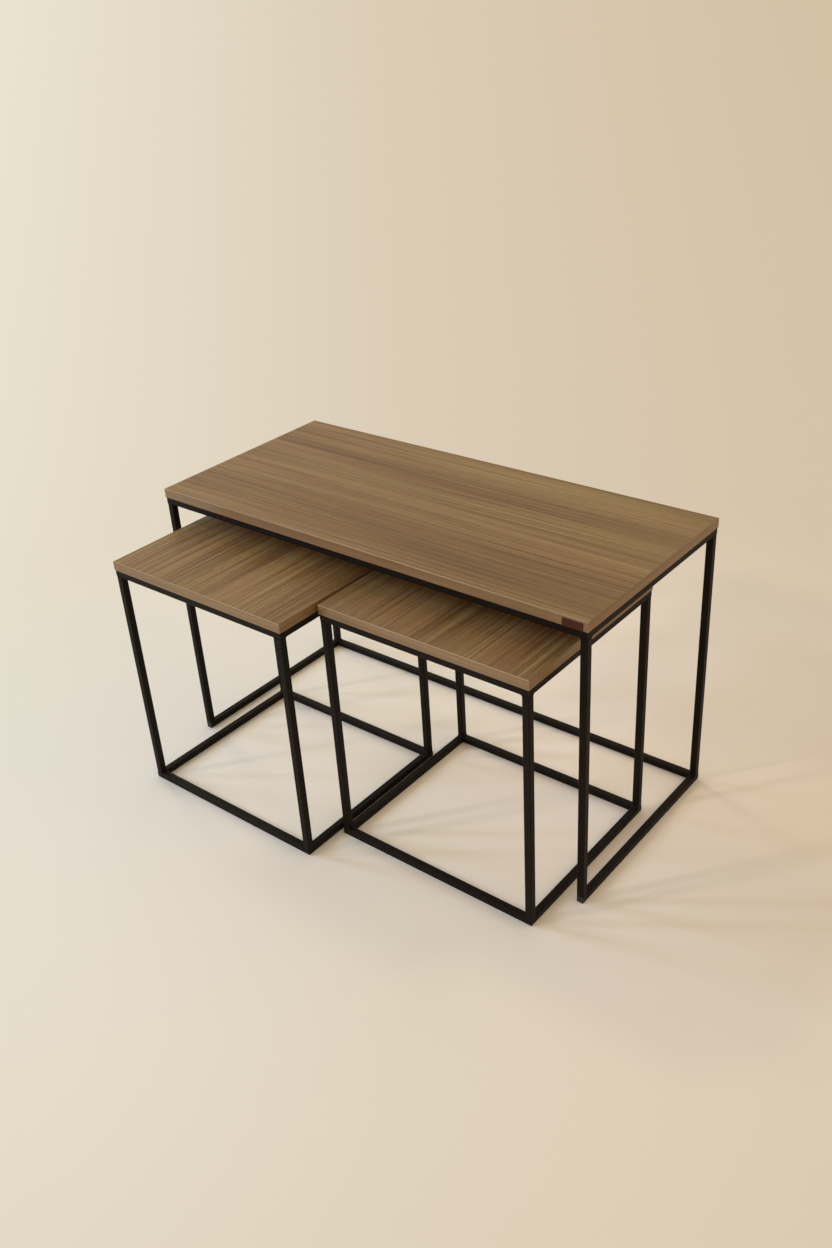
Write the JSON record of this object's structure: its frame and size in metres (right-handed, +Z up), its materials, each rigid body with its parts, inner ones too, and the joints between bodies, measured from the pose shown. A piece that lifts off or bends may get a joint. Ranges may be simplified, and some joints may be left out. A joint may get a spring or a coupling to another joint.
{
  "type": "nesting tables",
  "caption": "Nesting tables: a wide wood-grain top on a thin black steel frame, open at the front, with small matching tables that slide in under it side by side.",
  "frame": {"origin": "on the floor, in the middle of the footprint of the whole set as it stands", "axes": "+X along the wide table to its right, seen from the open front; +Y from front to back; +Z up"},
  "size_m": [1, 0.639, 0.59],
  "materials": {
    "particle_board": "raw particle board, drilled",
    "wood_grain_sheet": "brown-grey walnut grain, satin",
    "edge_band": "brown-grey walnut grain band, satin",
    "black_steel": "matte black powder coat",
    "zinc_screw": "black zinc",
    "black_plastic": "matte black",
    "brown_leather": "dark brown, blank"
  },
  "bodies": {
    "wide_table": {"wide_top_core": "particle_board", "wide_top_sheet": "wood_grain_sheet", "wide_band_front": "edge_band", "wide_band_back": "edge_band", "wide_band_left": "edge_band", "wide_band_right": "edge_band", "wide_leg_front_left": "black_steel", "wide_leg_front_right": "black_steel", "wide_leg_back_left": "black_steel", "wide_leg_back_right": "black_steel", "wide_top_rail_front": "black_steel", "wide_top_rail_back": "black_steel", "wide_top_rail_left": "black_steel", "wide_top_rail_right": "black_steel", "wide_floor_rail_back": "black_steel", "wide_floor_rail_left": "black_steel", "wide_floor_rail_right": "black_steel", "wide_board_screws": "zinc_screw", "wide_rail_caps": "black_plastic", "leather_tag": "brown_leather"},
    "left_table": {"left_top_core": "particle_board", "left_top_sheet": "wood_grain_sheet", "left_band_front": "edge_band", "left_band_back": "edge_band", "left_band_left": "edge_band", "left_band_right": "edge_band", "left_leg_front_left": "black_steel", "left_leg_front_right": "black_steel", "left_leg_back_left": "black_steel", "left_leg_back_right": "black_steel", "left_top_rail_front": "black_steel", "left_top_rail_back": "black_steel", "left_top_rail_left": "black_steel", "left_top_rail_right": "black_steel", "left_floor_rail_front": "black_steel", "left_floor_rail_back": "black_steel", "left_floor_rail_left": "black_steel", "left_floor_rail_right": "black_steel", "left_board_screws": "zinc_screw"},
    "right_table": {"right_top_core": "particle_board", "right_top_sheet": "wood_grain_sheet", "right_band_front": "edge_band", "right_band_back": "edge_band", "right_band_left": "edge_band", "right_band_right": "edge_band", "right_leg_front_left": "black_steel", "right_leg_front_right": "black_steel", "right_leg_back_left": "black_steel", "right_leg_back_right": "black_steel", "right_top_rail_front": "black_steel", "right_top_rail_back": "black_steel", "right_top_rail_left": "black_steel", "right_top_rail_right": "black_steel", "right_floor_rail_front": "black_steel", "right_floor_rail_back": "black_steel", "right_floor_rail_left": "black_steel", "right_floor_rail_right": "black_steel", "right_board_screws": "zinc_screw"}
  },
  "joints": [
    {"name": "left_table_slide", "type": "slide", "parent": "wide_table", "child": "left_table", "axis": [0, -1, 0], "range_m": [-0.23, 0.233]},
    {"name": "right_table_slide", "type": "slide", "parent": "wide_table", "child": "right_table", "axis": [0, -1, 0], "range_m": [-0.141, 0.322]}
  ]
}
